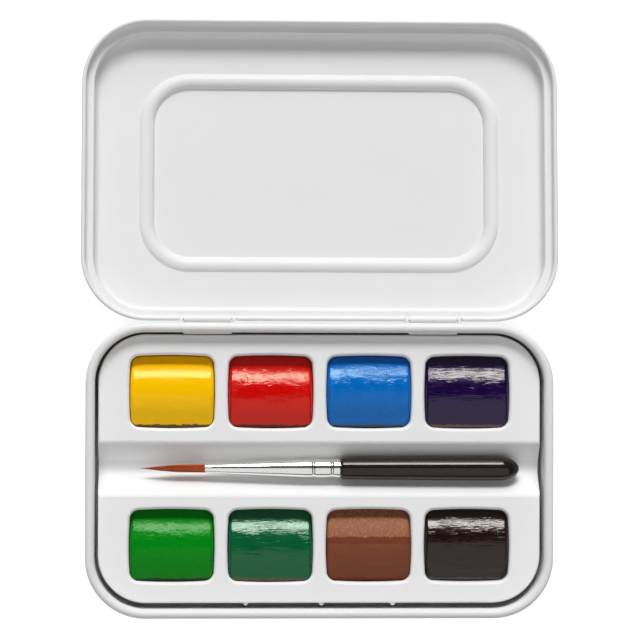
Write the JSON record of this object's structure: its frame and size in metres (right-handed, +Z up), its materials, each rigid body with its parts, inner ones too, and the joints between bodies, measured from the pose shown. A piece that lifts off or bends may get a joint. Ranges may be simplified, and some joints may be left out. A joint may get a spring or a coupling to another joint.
{
  "type": "watercolor travel set",
  "caption": "Pocket watercolour tin, opened flat: a shallow base with a lift-out paint tray and small brush, and a pressed lid hinged to it that serves as a mixing palette.",
  "frame": {"origin": "middle of the base's underside, on the table", "axes": "+X along the tin and its hinge to the right, +Y back over the open lid, +Z up"},
  "size_m": [0.1104, 0.1388, 0.013],
  "materials": {
    "base_tin": "glossy white enamel",
    "hinge_pin_left": "plain wire",
    "hinge_pin_right": "plain wire",
    "lid_tin": "glossy white enamel",
    "tray": "satin white",
    "cake_yellow": "dried paint, partly glossy",
    "cake_red": "dried paint, partly glossy",
    "cake_blue": "dried paint, partly glossy",
    "cake_violet": "dried paint, partly glossy",
    "cake_light_green": "dried paint, partly glossy",
    "cake_dark_green": "dried paint, partly glossy",
    "cake_brown": "dried paint, partly glossy",
    "cake_black_brown": "dried paint, partly glossy",
    "brush_handle": "black lacquer",
    "brush_ferrule": "polished nickel",
    "brush_tuft": "fine brown hair"
  },
  "bodies": {
    "base": {"base_tin": "base_tin", "hinge_pin_left": "hinge_pin_left", "hinge_pin_right": "hinge_pin_right"},
    "lid": {"lid_tin": "lid_tin"},
    "tray": {"tray": "tray"},
    "cake_yellow": {"cake_yellow": "cake_yellow"},
    "cake_red": {"cake_red": "cake_red"},
    "cake_blue": {"cake_blue": "cake_blue"},
    "cake_violet": {"cake_violet": "cake_violet"},
    "cake_light_green": {"cake_light_green": "cake_light_green"},
    "cake_dark_green": {"cake_dark_green": "cake_dark_green"},
    "cake_brown": {"cake_brown": "cake_brown"},
    "cake_black_brown": {"cake_black_brown": "cake_black_brown"},
    "brush": {"brush_handle": "brush_handle", "brush_ferrule": "brush_ferrule", "brush_tuft": "brush_tuft"}
  },
  "joints": [
    {"name": "lid_hinge", "type": "hinge", "parent": "base", "child": "lid", "pos_m": [0, 0.03485, 0.0114], "axis": [1, 0, 0], "range_deg": [0, 184.51]},
    {"name": "tray_lift", "type": "slide", "parent": "base", "child": "tray", "axis": [0, 0, 1], "range_m": [0, 0.03]},
    {"name": "cake_yellow_lift", "type": "slide", "parent": "tray", "child": "cake_yellow", "axis": [0, 0, 1], "range_m": [0, 0.02]},
    {"name": "cake_red_lift", "type": "slide", "parent": "tray", "child": "cake_red", "axis": [0, 0, 1], "range_m": [0, 0.02]},
    {"name": "cake_blue_lift", "type": "slide", "parent": "tray", "child": "cake_blue", "axis": [0, 0, 1], "range_m": [0, 0.02]},
    {"name": "cake_violet_lift", "type": "slide", "parent": "tray", "child": "cake_violet", "axis": [0, 0, 1], "range_m": [0, 0.02]},
    {"name": "cake_light_green_lift", "type": "slide", "parent": "tray", "child": "cake_light_green", "axis": [0, 0, 1], "range_m": [0, 0.02]},
    {"name": "cake_dark_green_lift", "type": "slide", "parent": "tray", "child": "cake_dark_green", "axis": [0, 0, 1], "range_m": [0, 0.02]},
    {"name": "cake_brown_lift", "type": "slide", "parent": "tray", "child": "cake_brown", "axis": [0, 0, 1], "range_m": [0, 0.02]},
    {"name": "cake_black_brown_lift", "type": "slide", "parent": "tray", "child": "cake_black_brown", "axis": [0, 0, 1], "range_m": [0, 0.02]},
    {"name": "brush_lift", "type": "slide", "parent": "tray", "child": "brush", "axis": [0, 0, 1], "range_m": [0, 0.03]}
  ]
}
